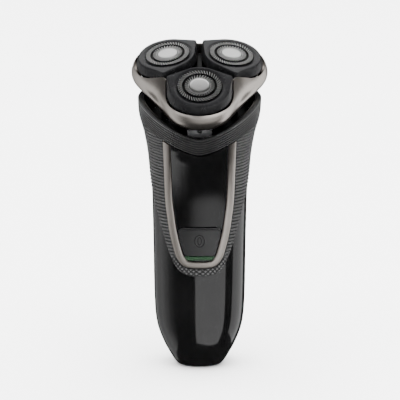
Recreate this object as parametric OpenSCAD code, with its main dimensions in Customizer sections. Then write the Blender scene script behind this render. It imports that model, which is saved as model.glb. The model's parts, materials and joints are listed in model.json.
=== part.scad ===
// Rotary shaver with three floating cutters, a tilting flip-open head and a mains inlet.
// Millimetres. +Z runs up the handle, the front faces -Y, and the origin is the centre of the base.

/* [Handle] */
// Width of the handle across its waist
handle_w = 43.4; // [42.5:0.1:44]
// Thickness of the handle's moulded walls
wall = 2; // [1.6:0.1:2.2]
// Height of the collar's rim at the front
rim_front_z = 114.6; // [113.5:0.1:115]
// Height of the collar's rim at the sides
rim_side_z = 128.4; // [127.5:0.1:128.6]
// Height of the collar's rim at the back
rim_back_z = 130.5; // [130:0.1:131]

/* [Head] */
// Lean of the head towards the front, in degrees
head_lean = 22; // [21:0.5:23]
// Height of the centre of the cutters above the base
head_z = 145; // [145:0.1:146]
// Distance from the head's centre to the centre of each cutter
pod_radius = 17.1; // [17:0.05:17.2]
// Outward tilt of each cutter, in degrees
pod_tilt = 9; // [8.5:0.1:9.2]
// Radius of the slotted cutter caps
cap_r = 10.4; // [10.2:0.05:10.5]

/* [Drive] */
// Teeth on the centre gear, a multiple of three
sun_teeth = 21; // [21]
// Teeth on each cutter gear
planet_teeth = 18; // [18]
// Radius of the motor's can
motor_r = 11.5; // [11:0.1:11.5]
// Radius of the battery cell
cell_r = 7; // [6.5:0.1:7]

/* [Hidden] */

$fn = 48;
slip = 0.06;      // radial clearance of a running fit
skin_gap = 0.1;   // gap between the shells and what lies on them

// Handle outline: [height, half width] at the sides, then depth to the front and to the back.
waist = handle_w / 2;
side_line = [
    [0, waist - 11.2], [3, waist - 9.1], [11, waist - 4.8], [20, waist - 1.7], [32, waist - 0.6],
    [60, waist - 0.1], [85, waist + 0.5], [100, waist + 1.3], [112, waist + 3.2],
    [122, waist + 5.7], [rim_back_z + 6, waist + 6.1]
];
front_line = [
    [0, 10], [3, 12], [10, 16], [20, 18.6], [40, 19.6], [70, 19.2], [88, 19.6], [100, 22.2],
    [108, 26], [rim_front_z, 29.6], [rim_back_z + 6, 31]
];
back_line = [
    [0, 10], [3, 12], [10, 15.6], [20, 18], [45, 18.6], [80, 17.8], [100, 18.4], [115, 20.4],
    [rim_side_z, 23.8], [rim_back_z + 6, 25]
];
roundness = 2.3;   // exponent of the handle's superellipse section
base_top = 3;      // height of the base cap

// Front overlays
panel_out = 1.1;
button_in = 0.85;
button_out = 1.2;
trim_out = 1.3;
grip_out = 0.9;
button_top_z = 70.4;
button_low_z = 57;
lens_low_z = 54.9;
trim_w = 3.2;
collar_drop = 8.5;
// Right half of the trim's centreline: [half width, height], from the collar to the bottom centre.
trim_line = [
    [15, 115], [14.3, 98], [13.7, 83], [12.8, 75], [11.8, 68], [9.9, 60], [8.5, 56], [6.2, 53.3],
    [3, 52.6], [0, 52.6]
];
// Outer edge of the grip beside the same points: [angle from the front, height].
grip_line = [
    [112, 128], [100, 108], [84, 93], [67, 82], [53, 72], [42, 62], [33.5, 55], [23, 49.6],
    [10, 47.4], [0, 47.2]
];

// Head levels, all along the head's own axis below the plane of the cutters
head_y = -6;
pivot_h = -24;
pivot_y = head_y - sin(head_lean) * pivot_h;
pivot_z = head_z + cos(head_lean) * pivot_h;
gear_radius = pod_radius - 0.75;
gear_module = 2 * gear_radius / (sun_teeth + planet_teeth);
gear_low = -18.2;
gear_thick = 3;
bowl_q = 10.8;
bowl_wall = 1.2;
bowl_low = -19.6;
bowl_step = -15;
bowl_taper = 2.2;
bowl_low_wall = 0.65;
bowl_top = -12;
bowl_floor = -20.5;
floor_top = -18.6;
cover_top = -13.5;
cover_thick = 1;
hinge_y = 24.2;
hinge_h = -13;
hinge_pin_r = 0.8;
knuckle_r = 1.8;
neck_r = 8.8;
trunnion_r = 1;
ring_r = 13.2;
ring_bore = 10.2;
ring_half = 2;
tower_x = 14.6;
tower_t = 3;
deck_top = -29.5;
deck_t = 1.5;
seam = 0.9;
notch_r = 18.5;
pod_q = 14.9;
pod_top_q = 13.6;
pod_mid_q = 14.4;
inner_q = 13.2;
pod_depth = 4.6;
pocket_gap = 0.35;

// Motor, battery and circuit board places
motor_y = pivot_y;
motor_low = 80;
motor_high = 105;
shaft_r = 1.2;
cell_y = 5;
cell_low = 22;
cell_high = 72;
plate_y = -4.6;         // front face of the chassis plate
board_y = -8.5;         // front face of the circuit board
shelf_z = 76;           // underside of the shelf below the motor
lens_z = 55.4;          // underside of the light guide
inlet_half = [5, 3];    // half width and half depth of the inlet's block
pin_x = 3.2;
pin_r = 0.6;

black = [0.06, 0.06, 0.065];
soft_black = [0.12, 0.12, 0.125];
silver = [0.66, 0.63, 0.6];
steel = [0.75, 0.75, 0.76];
copper = [0.72, 0.42, 0.22];

// ---------------------------------------------------------------- curves and surfaces
function slope(p, i) =
    let (a = max(i - 1, 0), b = min(i + 1, len(p) - 1))
    (p[b][1] - p[a][1]) / (p[b][0] - p[a][0]);
function segment(p, x, i = 0) = i >= len(p) - 2 || x < p[i + 1][0] ? i : segment(p, x, i + 1);
// Smooth curve through [x, value] points
function curve(p, x) =
    let (i = segment(p, x), h = p[i + 1][0] - p[i][0], t = (x - p[i][0]) / h)
    p[i][1] * (2 * t ^ 3 - 3 * t ^ 2 + 1) + slope(p, i) * h * (t ^ 3 - 2 * t ^ 2 + t)
        + p[i + 1][1] * (3 * t ^ 2 - 2 * t ^ 3) + slope(p, i + 1) * h * (t ^ 3 - t ^ 2);
// Point a share t of the way along a list of points
function along(p, t) =
    let (f = min(t, 1) * (len(p) - 1), i = min(floor(f), len(p) - 2), s = f - i,
         a = p[max(i - 1, 0)], b = p[i], c = p[i + 1], d = p[min(i + 2, len(p) - 1)])
    b + (c - a) * s / 2 + (2 * a - 5 * b + 4 * c - d) * s ^ 2 / 2 + (3 * (b - c) + d - a) * s ^ 3 / 2;
function signed_power(v, e) = sign(v) * pow(abs(v), e);
// Point on the handle at an angle from the front centre (towards +X), a height and an offset outwards
function skin(angle, z, d) =
    let (depth = abs(angle) > 90 ? curve(back_line, z) : curve(front_line, z))
    [
        (curve(side_line, z) + d) * signed_power(sin(angle), 2 / roundness),
        -(depth + d) * signed_power(cos(angle), 2 / roundness),
        z
    ];
function angle_at(x, z) = asin(min(1, pow(abs(x) / curve(side_line, z), roundness / 2))) * sign(x);
function rim_z(angle) =
    let (edge = abs(sin(angle)) ^ (2 / roundness), end = abs(angle) > 90 ? rim_back_z : rim_front_z)
    end + (rim_side_z - end) * edge ^ 1.5;
// Height of level t, which runs from the base cap (0) to the rim (1) and follows the rim near the top
function level_z(angle, t) =
    let (bend_t = 0.55, bend_z = 84)
    t <= bend_t
        ? base_top + (bend_z - base_top) * t / bend_t
        : bend_z + (rim_z(angle) - bend_z) * (t - bend_t) / (1 - bend_t);

function flatten(lists) = [for (one = lists) each one];

// Closed solid between two grids of points of the same size
module slab(outer, inner) {
    rows = len(outer);
    cols = len(outer[0]);
    base = rows * cols;
    function at(i, j) = i * cols + j;
    faces = concat(
        [for (i = [0:rows - 2], j = [0:cols - 2]) each [
            [at(i, j), at(i, j + 1), at(i + 1, j + 1)], [at(i, j), at(i + 1, j + 1), at(i + 1, j)],
            [base + at(i, j), base + at(i + 1, j + 1), base + at(i, j + 1)],
            [base + at(i, j), base + at(i + 1, j), base + at(i + 1, j + 1)]
        ]],
        [for (i = [0:rows - 2]) each [
            [at(i, 0), at(i + 1, 0), base + at(i + 1, 0)], [at(i, 0), base + at(i + 1, 0), base + at(i, 0)],
            [at(i, cols - 1), base + at(i + 1, cols - 1), at(i + 1, cols - 1)],
            [at(i, cols - 1), base + at(i, cols - 1), base + at(i + 1, cols - 1)]
        ]],
        [for (j = [0:cols - 2]) each [
            [at(0, j), base + at(0, j + 1), at(0, j + 1)], [at(0, j), base + at(0, j), base + at(0, j + 1)],
            [at(rows - 1, j), at(rows - 1, j + 1), base + at(rows - 1, j + 1)],
            [at(rows - 1, j), base + at(rows - 1, j + 1), base + at(rows - 1, j)]
        ]]
    );
    polyhedron(points = concat(flatten(outer), flatten(inner)), faces = faces, convexity = 6);
}

// Closed solid of a stack of rings, capped at both ends, or joined end to end
module ring_stack(rings, joined = false) {
    rows = len(rings);
    cols = len(rings[0]);
    function at(i, j) = (i % rows) * cols + j % cols;
    sides = [for (i = [0:rows - (joined ? 1 : 2)], j = [0:cols - 1]) each [
        [at(i, j), at(i + 1, j), at(i + 1, j + 1)], [at(i, j), at(i + 1, j + 1), at(i, j + 1)]
    ]];
    caps = joined ? [] : [[for (j = [0:cols - 1]) j], [for (j = [cols - 1:-1:0]) at(rows - 1, j)]];
    polyhedron(points = flatten(rings), faces = concat(sides, caps), convexity = 6);
}

// Part of the handle's wall between two angles
module wall_patch(from, to, steps, levels, out, inside) {
    function grid(d) = [for (i = [0:steps])
        let (angle = from + (to - from) * i / steps)
        [for (j = [0:levels]) skin(angle, level_z(angle, j / levels), d)]];
    slab(grid(out), grid(inside));
}

// Handle-shaped solid at an offset from the skin, between two heights
module handle_core(d, low, high, steps = 4) {
    ring_stack([for (i = [0:steps]) [for (a = [-180:10:170]) skin(a, low + (high - low) * i / steps, d)]]);
}

module bar_y(r, y0, y1, x, z) translate([x, y1, z]) rotate([90, 0, 0]) cylinder(r = r, h = y1 - y0);
module bar_x(r, x0, x1, y, z) translate([x0, y, z]) rotate([0, 90, 0]) cylinder(r = r, h = x1 - x0);

// ---------------------------------------------------------------- handle
button_stem_z = 63.5;
button_stem_r = 1.6;
screw_places = [[12.5, 71], [-12.5, 71], [12.5, 24], [-12.5, 24]];
screw_seat_y = 12.2;
shell_edge = 89.6;     // angle from the middle of a shell to its parting face
shell_steps = 26;

module front_shell() color(black) difference() {
    wall_patch(-shell_edge, shell_edge, shell_steps, 22, 0, -wall);
    bar_y(button_stem_r + 0.5, -40, -5, 0, button_stem_z);
    translate([-5.4, -40, lens_z - 0.2]) cube([10.8, 35, 1.7]);
}

module rear_shell() color(black) difference() {
    union() {
        wall_patch(180 - shell_edge, 180 + shell_edge, shell_steps, 22, 0, -wall);
        for (place = screw_places) intersection() {
            bar_y(3, 4.1, 20, place[0], place[1]);
            handle_core(-0.6, place[1] - 4, place[1] + 4, 2);
        }
    }
    for (place = screw_places) {
        bar_y(1.05, 0, 40, place[0], place[1]);
        bar_y(2.35, screw_seat_y, 40, place[0], place[1]);
    }
}

module base_cap() color(black) difference() {
    handle_core(0, 0, base_top - 0.05, 2);
    translate([-inlet_half[0] - 0.2, -inlet_half[1] - 0.2, -1])
        cube([2 * inlet_half[0] + 0.4, 2 * inlet_half[1] + 0.4, 6]);
}

// Ring with raised ribs, which shares the shells' columns so that it lies evenly on them
module collar_band() color(soft_black) {
    ribs = 6;
    rows = 8;
    lip = 0.5;
    lip_in = -1.3;
    angles = [for (middle = [180, 0], i = [0:shell_steps])
        middle + shell_edge - 2 * shell_edge * i / shell_steps];
    profile = concat(
        [for (i = [0:2 * ribs]) [collar_drop * (i / (2 * ribs) - 1), i % 2 == 0 ? 0.45 : grip_out]],
        [[lip, 0.1], [lip, lip_in], [skin_gap, lip_in]],
        [for (i = [0:rows]) [skin_gap - (collar_drop + skin_gap) * i / rows, skin_gap + 0.02]]
    );
    ring_stack(
        joined = true,
        rings = [for (p = profile) [for (a = angles) skin(a, rim_z(a) + p[0], p[1])]]
    );
}

// Distance along the trim's path (0 at the collar, 1 at the bottom) and a shift outwards across it
function trim_at(t, shift) =
    let (p = along(trim_line, t),
        q = along(trim_line, min(t + 0.01, 1)),
        o = along(trim_line, max(t - 0.01, 0)),
        dir = (q - o) / norm(q - o),
        x = p[0] - dir[1] * shift,
        z = p[1] + dir[0] * shift)
    [angle_at(x, z), z];
function grip_at(t, share) =
    let (inner = trim_at(t, trim_w / 2 + 0.15), outer = along(grip_line, t))
    inner + (outer - inner) * share;
// Height just under the collar, and a patch point moved so that its first row meets it
function edge_z(angle) = rim_z(angle) - collar_drop - 0.3;
function tucked(at, top, t) = [at[0], at[1] + (edge_z(top[0]) - top[1]) * max(0, 1 - 6 * t)];
// Both sides of a path: from the right collar to the bottom centre and up to the left collar
function both_sides(steps) = [for (i = [-steps:steps]) [1 - abs(i) / steps, i < 0 ? 1 : -1]];
function placed(at, side, d) = let (p = skin(at[0], at[1], d)) [p[0] * side, p[1], p[2]];

module trim_strip() {
    function grid(d) = [for (p = both_sides(30)) [for (shift = [-trim_w / 2, 0, trim_w / 2])
        placed(tucked(trim_at(p[0], shift), trim_at(0, shift), p[0]), p[1], d)]];
    color(silver) slab(grid(trim_out), grid(skin_gap));
}

module side_grip() {
    steps = 10;
    grip_gap = 0.16;
    function grid(d) = [for (p = both_sides(30)) [for (k = [0:steps])
        placed(tucked(grip_at(p[0], k / steps), grip_at(0, k / steps), p[0]), p[1], d)]];
    color(soft_black) slab(grid(grip_out), grid(grip_gap));
}

// Half width inside the trim at a height
inside_line = [
    [lens_low_z - 0.5, 5.4], [56, 6.6], [60, 8.1], [68, 10], [75, 11], [83, 11.9], [98, 12.5], [116, 13.2]
];
module inside_patch(low, high, rows, out, inside, inset = 0.2) {
    cols = 10;
    function half(z) = curve(inside_line, z) - inset;
    function top(share) = min(high, edge_z(angle_at(half(high) * share, high)));
    function grid(d) = [for (j = [-cols:cols]) [for (i = [0:rows])
        let (z = low + (top(j / cols) - low) * i / rows)
        skin(angle_at(half(z) * j / cols, z), z, d)]];
    slab(grid(out), grid(inside));
}

module centre_panel() color(black) inside_patch(button_top_z + 0.3, 112, 14, panel_out, skin_gap);
module led_lens() color([0.1, 0.35, 0.15]) {
    inside_patch(lens_low_z, button_low_z - 0.3, 2, panel_out, skin_gap);
}
module power_button() color(soft_black) {
    inside_patch(button_low_z, button_top_z, 6, button_out, button_in, 0.4);
    bar_y(button_stem_r, -20.35, -13.2, 0, button_stem_z);
}

// Frame whose Z axis is the head's axis and whose origin is the middle of the cutters' plane
module in_head() translate([0, head_y, head_z]) rotate([head_lean, 0, 0]) children();

module top_deck() color(black) {
    difference() {
        intersection() {
            handle_core(-wall - 0.4, 98, 128, 6);
            in_head() translate([-40, -50, deck_top - deck_t]) cube([80, 100, deck_t]);
        }
        in_head() translate([0, 0, deck_top - 5]) cylinder(r = 9.5, h = 10);
    }
    in_head() for (side = [0, 180]) rotate([0, 0, side]) deck_tower();
}

module deck_tower() difference() {
    translate([tower_x, -3, deck_top - 0.2]) cube([tower_t, 6, pivot_h + 2.2 - deck_top + 0.2]);
    bar_x(trunnion_r + slip, 10, 30, 0, pivot_h);
}

module neck_seal() color(soft_black) in_head() translate([0, 0, deck_top]) difference() {
    cylinder(r = 12, h = 0.9);
    translate([0, 0, -1]) cylinder(r = 9.6, h = 3);
}

module chassis() color([0.85, 0.85, 0.83]) difference() {
    union() {
        translate([-15.5, plate_y, 16]) cube([31, 1.6, shelf_z - 15]);
        translate([-14.5, plate_y, shelf_z]) cube([29, 14.2, 2]);
        for (side = [-1, 1]) translate([side * 14.9 - 1.1, plate_y, shelf_z]) cube([2.2, 9, 29]);
        for (place = screw_places) bar_y(2.6, -4, 4, place[0], place[1]);
    }
    for (place = screw_places) bar_y(0.95, -3, 10, place[0], place[1]);
    translate([0, cell_y, cell_low - 1]) cylinder(r = cell_r + 0.3, h = 52);
    translate([0, motor_y, 70]) cylinder(r = 5, h = 20);
    for (end = [cell_low - 0.4, cell_high]) translate([-2.2, -7, end - 0.1]) cube([4.4, 5, 0.5]);
}

module case_screws() color(steel) for (place = screw_places) {
    bar_y(0.9, -2, screw_seat_y + 0.1, place[0], place[1]);
    bar_y(2.1, screw_seat_y, screw_seat_y + 1.1, place[0], place[1]);
}

module battery_cell() color([0.2, 0.45, 0.3]) translate([0, cell_y, cell_low]) {
    cylinder(r = cell_r, h = cell_high - cell_low - 1);
    cylinder(r = 2.5, h = cell_high - cell_low);
}

module battery_tabs() color(steel) for (end = [cell_low - 0.4, cell_high]) {
    translate([-2, -6, end]) cube([4, 11, 0.3]);
}

module circuit_board() color([0.1, 0.35, 0.2]) difference() {
    translate([-11, board_y, 20]) cube([22, 1.2, 54]);
    for (side = [-1, 1]) bar_y(1, -10, -5, side * 9, 40);
}

module power_switch() color(steel) {
    translate([-3, -11, button_stem_z - 3]) cube([6, 2.5, 6]);
    bar_y(1.4, -12.5, -10.9, 0, button_stem_z);
}

module status_led() color([0.7, 0.9, 0.7]) {
    translate([-4, board_y - 1.1, lens_z]) cube([8, 1.1, 1.3]);
    translate([-4.8, -18.4, lens_z]) cube([9.6, 8.7, 1.3]);
}

module charge_inlet() color(black) difference() {
    translate([-inlet_half[0], -inlet_half[1], 0.3]) cube([2 * inlet_half[0], 2 * inlet_half[1], 10]);
    translate([-inlet_half[0] + 0.8, -inlet_half[1] + 0.7, -1])
        cube([2 * inlet_half[0] - 1.6, 2 * inlet_half[1] - 1.4, 8.8]);
    for (side = [-1, 1]) translate([side * pin_x, 0, 5]) cylinder(r = pin_r, h = 8);
}

module contact_pins() color(copper) for (side = [-1, 1]) {
    translate([side * pin_x, 0, 2]) cylinder(r = pin_r, h = 11);
}

// ---------------------------------------------------------------- motor
module motor_can() color(steel) translate([0, motor_y, 0]) difference() {
    translate([0, 0, motor_low + 2]) cylinder(r = motor_r, h = motor_high - motor_low - 2);
    translate([0, 0, motor_low]) cylinder(r = motor_r - 1, h = motor_high - motor_low - 1);
    translate([0, 0, motor_low]) cylinder(r = shaft_r + slip, h = 40);
    for (side = [-1, 1]) translate([side * 7, 0, motor_high - 3]) cylinder(r = 0.8, h = 5);
}

module motor_endcap() color(black) translate([0, motor_y, motor_low]) difference() {
    cylinder(r = motor_r, h = 2);
    translate([0, 0, -1]) cylinder(r = shaft_r + slip, h = 5);
}

module motor_magnets() color([0.3, 0.3, 0.32]) translate([0, motor_y, motor_low + 4]) difference() {
    cylinder(r = motor_r - 1, h = 17);
    translate([0, 0, -1]) cylinder(r = motor_r - 3, h = 20);
    translate([-2, -20, -1]) cube([4, 40, 20]);
}

module motor_bracket() color([0.85, 0.85, 0.83]) difference() {
    translate([-16, motor_y - 8, motor_high + 0.05]) cube([32, 16, 1.6]);
    translate([0, motor_y, 100]) cylinder(r = 3, h = 20);
}

module motor_leads() color([0.7, 0.1, 0.1]) for (side = [-1, 1]) {
    translate([side * 8.2, -6.4, 70]) cylinder(r = 0.7, h = 9, $fn = 24);
    translate([side * 8.2, -6.4, 79]) sphere(r = 0.7, $fn = 24);
}

module armature() color(copper) translate([0, motor_y, motor_low + 5]) difference() {
    union() {
        for (k = [0:2]) rotate([0, 0, 120 * k]) translate([-2.6, 0, 0]) cube([5.2, 7.4, 14]);
        cylinder(r = 4.5, h = 14);
    }
    translate([0, 0, -1]) cylinder(r = shaft_r, h = 20);
}

cup_r = 4;
cup_bore = 2.9;
module drive_shaft() color(steel) translate([0, motor_y, 0]) difference() {
    union() {
        translate([0, 0, motor_low - 1]) cylinder(r = shaft_r, h = 40);
        translate([0, 0, pivot_z - 4.2]) cylinder(r = cup_r, h = 5.8);
    }
    translate([0, 0, pivot_z - 2.8]) cylinder(r = cup_bore, h = 10);
}

// ---------------------------------------------------------------- head base
module three(angle0 = -90) for (k = [0:2]) rotate([0, 0, angle0 + 120 * k]) children();
// Rounded triangle: three lobes of radius q about the cutters' centres
module lobes(q) hull() three() translate([pod_radius, 0]) circle(r = q, $fn = 64);
module lobe_plate(q, low, high) translate([0, 0, low]) linear_extrude(high - low) lobes(q);

module gimbal_ring() color(steel) in_head() {
    difference() {
        translate([0, 0, pivot_h - ring_half]) cylinder(r = ring_r, h = 2 * ring_half);
        translate([0, 0, pivot_h - 5]) cylinder(r = ring_bore, h = 10);
        bar_y(trunnion_r + slip, -20, 20, 0, pivot_h);
    }
    bar_x(trunnion_r, ring_r - 0.5, tower_x + tower_t - 0.4, 0, pivot_h);
    bar_x(trunnion_r, -(tower_x + tower_t - 0.4), -(ring_r - 0.5), 0, pivot_h);
}

module hair_chamber() color(black) in_head() {
    difference() {
        union() {
            lobe_plate(bowl_q, bowl_step - 0.6, bowl_top);
            lobe_plate(bowl_q - bowl_taper, bowl_low, bowl_step);
            lobe_plate(bowl_q - 2, bowl_floor, bowl_low + 0.2);
            translate([-3, 17, hinge_h - 1.4]) cube([6, hinge_y - 17, 2.5]);
            bar_x(knuckle_r, -3, 3, hinge_y, hinge_h);
            translate([0, 0, pivot_h - 4]) cylinder(r = neck_r, h = bowl_floor - pivot_h + 4.5);
            bar_y(trunnion_r, -(ring_r - 0.4), -neck_r + 0.8, 0, pivot_h);
            bar_y(trunnion_r, neck_r - 0.8, ring_r - 0.4, 0, pivot_h);
        }
        lobe_plate(bowl_q - bowl_wall, bowl_step, 0);
        lobe_plate(bowl_q - bowl_taper - bowl_low_wall, floor_top, bowl_step + 0.1);
        translate([0, 0, pivot_h - 5]) cylinder(r = neck_r - 1.3, h = 5.2 + bowl_floor - pivot_h - 0.2);
        translate([0, 0, bowl_floor - 1]) cylinder(r = 1.5 + slip, h = 5);
        three() translate([gear_radius, 0, bowl_floor - 1]) cylinder(r = 1 + slip, h = 5);
        bar_x(hinge_pin_r, -4, 4, hinge_y, hinge_h);
        bar_y(1.35, -40, -20, 0, -18.9 + 1.2);
    }
}

module gear_cover() color([0.2, 0.2, 0.21]) in_head() difference() {
    lobe_plate(bowl_q - bowl_wall - 0.1, cover_top - cover_thick, cover_top);
    three() translate([gear_radius, 0, cover_top - 3]) cylinder(r = 1.8, h = 6);
}

module hinge_pin() color(steel) in_head() bar_x(hinge_pin_r, -8, 8, hinge_y, hinge_h);

// Spur gear with straight-sided teeth and generous backlash
module gear(teeth, phase) {
    pitch_r = gear_module * teeth / 2;
    root = pitch_r - 1.2 * gear_module;
    tip = pitch_r + 0.7 * gear_module;
    step = 360 / teeth;
    rotate([0, 0, phase]) linear_extrude(gear_thick) union() {
        circle(r = root);
        for (i = [0:teeth - 1]) rotate(i * step) polygon([
            [root - 0.3, -gear_module * 0.8], [tip, -gear_module * 0.32],
            [tip, gear_module * 0.32], [root - 0.3, gear_module * 0.8]
        ]);
    }
}

module centre_gear() color([0.9, 0.9, 0.88]) in_head() {
    translate([0, 0, gear_low]) gear(sun_teeth, 0);
    translate([0, 0, pivot_h]) cylinder(r = 1.3, h = gear_low - pivot_h + 1);
    translate([0, 0, bowl_floor - 1]) cylinder(r = 1.5, h = 3.4);
    translate([0, 0, pivot_h]) sphere(r = 2.2);
}

module cutter_gear(k) {
    angle = -90 + 120 * (k - 1);
    share = (angle + 360) * sun_teeth / 360;
    phase = angle + 180 + (share - floor(share) - 0.5) * 360 / planet_teeth;
    color([0.9, 0.9, 0.88]) in_head() rotate([0, 0, angle]) translate([gear_radius, 0, 0]) {
        translate([0, 0, gear_low]) rotate([0, 0, -angle]) gear(planet_teeth, phase);
        translate([0, 0, bowl_floor]) cylinder(r = 1, h = 3);
        translate([0, 0, gear_low]) cylinder(r = 1.5, h = 10.2);
        translate([0, 0, -8.1]) cylinder(r = 1.1, h = 2.8, $fn = 6);
    }
}

release_h = -18.9;
module release_button() color(soft_black) in_head() {
    translate([-5.8, -30, release_h - 1.9]) cube([11.6, 1.4, 3.9]);
    bar_y(1.25, -29, -27.6, 0, release_h + 1.2);
}

// ---------------------------------------------------------------- lid
dome = [
    [-15.3, 13.4], [-14.3, 15.2], [-12.4, 16.4], [-10.5, 16.8], [-8.5, 16.5], [-6.3, 15.7],
    [-3.2, 13.6], [0.9, 10.4]
];
// Distance from the head's centre to the rounded triangle of lobe radius q, at an angle from a lobe
function lobe_reach(q, angle) =
    let (turn = abs(angle), tangent = atan2(q * sin(60), pod_radius + q * cos(60)))
    turn < tangent
        ? pod_radius * cos(turn) + sqrt(q ^ 2 - (pod_radius * sin(turn)) ^ 2)
        : (pod_radius * cos(60) + q) / cos(60 - turn);
function lobe_ring(q, z) = [for (a = [-90:5:265])
    let (from_lobe = (a + 90 + 60) % 120 - 60, r = lobe_reach(q, from_lobe))
    [r * cos(a), r * sin(a), z]];

module head_bezel() color(silver) in_head() difference() {
    ring_stack([for (i = [len(dome) - 1:-1:0]) lobe_ring(dome[i][1], dome[i][0])]);
    lobe_plate(12.4, -20, -9);
    translate([0, 0, -9.5]) cylinder(r = 17.3, h = 20);
    for (k = [1:3]) in_pod(k) translate([0, 0, -9.2]) linear_extrude(20) {
        pod_outline(pod_q + pocket_gap, -pocket_gap);
    }
    translate([-9, 18, -20]) cube([18, 20, 9.6]);
}

// Frame of one cutter pod: Z along its own axis, X outwards
module in_pod(k) {
    rotate([0, 0, -90 + 120 * (k - 1)]) translate([pod_radius, 0, 0]) rotate([0, pod_tilt, 0]) children();
}

// Outline of a pod: an outer arc of radius q, an arc of inner_q towards the head's centre, and
// straight sides from both to the two corners beside the seams
module pod_outline(q, grow = 0) {
    gap = seam + grow;
    corner = [-pod_radius + notch_r * 0.5 + gap * 0.866, notch_r * 0.866 - gap * 0.5];
    inner = min(q, inner_q - grow);
    facing = atan2(corner[1], corner[0]);
    outer_turn = facing - acos(q / norm(corner));
    inner_turn = facing + acos(inner / norm(corner));
    circle(r = inner, $fn = 96);
    intersection() {
        circle(r = q, $fn = 96);
        translate([0, -q]) square([q, 2 * q]);
    }
    polygon([
        q * [cos(outer_turn), sin(outer_turn)], corner, inner * [cos(inner_turn), sin(inner_turn)],
        inner * [cos(inner_turn), -sin(inner_turn)], [corner[0], -corner[1]],
        q * [cos(outer_turn), -sin(outer_turn)]
    ]);
}

module cutter_carrier() color(black) in_head() difference() {
    union() {
        difference() {
            lobe_plate(12, -11.8, -9.4);
            lobe_plate(9.6, -13, -8);
        }
        three(-30) {
            translate([-1.2, -1, -7.4]) cube([17, 2, 2.4]);
            translate([14.4, -0.9, -11.4]) cube([1.3, 1.8, 6]);
            translate([14.5, -0.8, -11.2]) cube([5, 1.6, 1.6]);
        }
        for (side = [-1, 1]) translate([side * 5.8, 0, 0]) {
            translate([-2.2, 19.2, hinge_h + 1.05]) cube([4.4, 6.2, 1.4]);
            bar_x(knuckle_r, -2.4, 2.4, hinge_y, hinge_h);
        }
    }
    bar_x(hinge_pin_r + slip, -12, 12, hinge_y, hinge_h);
}

module lid_latch() color(soft_black) in_head() translate([-3, -29.1, -15.8]) cube([6, 0.9, 3.9]);

module pod_shell(k) color(black) in_head() in_pod(k) difference() {
    union() {
        translate([0, 0, -pod_depth]) linear_extrude(pod_depth - 0.4) pod_outline(pod_top_q);
        translate([0, 0, -pod_depth]) linear_extrude(pod_depth - 1.6) pod_outline(pod_mid_q);
        translate([0, 0, -pod_depth]) linear_extrude(pod_depth - 2.8) pod_outline(pod_q);
    }
    translate([0, 0, -9]) cylinder(r = cap_r + 0.15, h = 12);
}

module foil_cap(k) color(steel) in_head() in_pod(k) rotate_extrude() polygon([
    [cap_r - 0.5, -5.3], [cap_r + 1, -5.3], [cap_r + 1, -4.7], [cap_r, -4.7], [cap_r, -0.3],
    [cap_r - 0.3, 0], [8, 0], [7.7, -0.3], [7.4, -0.3], [7.1, 0.1], [5.4, 0.1], [5.1, -0.2],
    [0, -0.2], [0, -0.7], [9.6, -0.7], [cap_r - 0.5, -1.2]
]);

module cap_disc(k) color(silver) in_head() in_pod(k) translate([0, 0, -0.15]) difference() {
    cylinder(r1 = 4.6, r2 = 4.2, h = 0.6);
}

module cutter_blade(k) color(steel) in_head() in_pod(k) difference() {
    union() {
        translate([0, 0, -3.2]) cylinder(r = 9.5, h = 0.8);
        translate([0, 0, -6.4]) cylinder(r = 3.4, h = 4);
        for (i = [0:11]) rotate([0, 0, 30 * i]) translate([5.2, -0.4, -2.5]) cube([4, 0.8, 1.6]);
    }
    translate([0, 0, -7]) cylinder(r = 2.4, h = 4, $fn = 6);
}

front_shell();
rear_shell();
base_cap();
collar_band();
side_grip();
trim_strip();
centre_panel();
led_lens();
top_deck();
neck_seal();
chassis();
battery_cell();
battery_tabs();
circuit_board();
power_switch();
status_led();
charge_inlet();
contact_pins();
motor_can();
motor_endcap();
motor_magnets();
motor_bracket();
case_screws();
motor_leads();
power_button();
armature();
drive_shaft();
gimbal_ring();
hair_chamber();
gear_cover();
hinge_pin();
centre_gear();
cutter_gear(1);  // cutter_gear_1
cutter_gear(2);  // cutter_gear_2
cutter_gear(3);  // cutter_gear_3
release_button();
head_bezel();
cutter_carrier();
lid_latch();
pod_shell(1);  // pod_shell_1
pod_shell(2);  // pod_shell_2
pod_shell(3);  // pod_shell_3
foil_cap(1);  // foil_cap_1
foil_cap(2);  // foil_cap_2
foil_cap(3);  // foil_cap_3
cap_disc(1);  // cap_disc_1
cap_disc(2);  // cap_disc_2
cap_disc(3);  // cap_disc_3
cutter_blade(1);  // cutter_blade_1
cutter_blade(2);  // cutter_blade_2
cutter_blade(3);  // cutter_blade_3
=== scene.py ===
"""Looks of a rotary electric shaver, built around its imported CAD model.

The frame is the CAD model's: +Z up the handle, the front towards -Y. Shapes are worked out in mm, and
mesh_object() turns them into metres; the floor, lights and camera are in metres. The handle's skin and
the head's outlines repeat the CAD part's own curves.
"""

import json
import math

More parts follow.
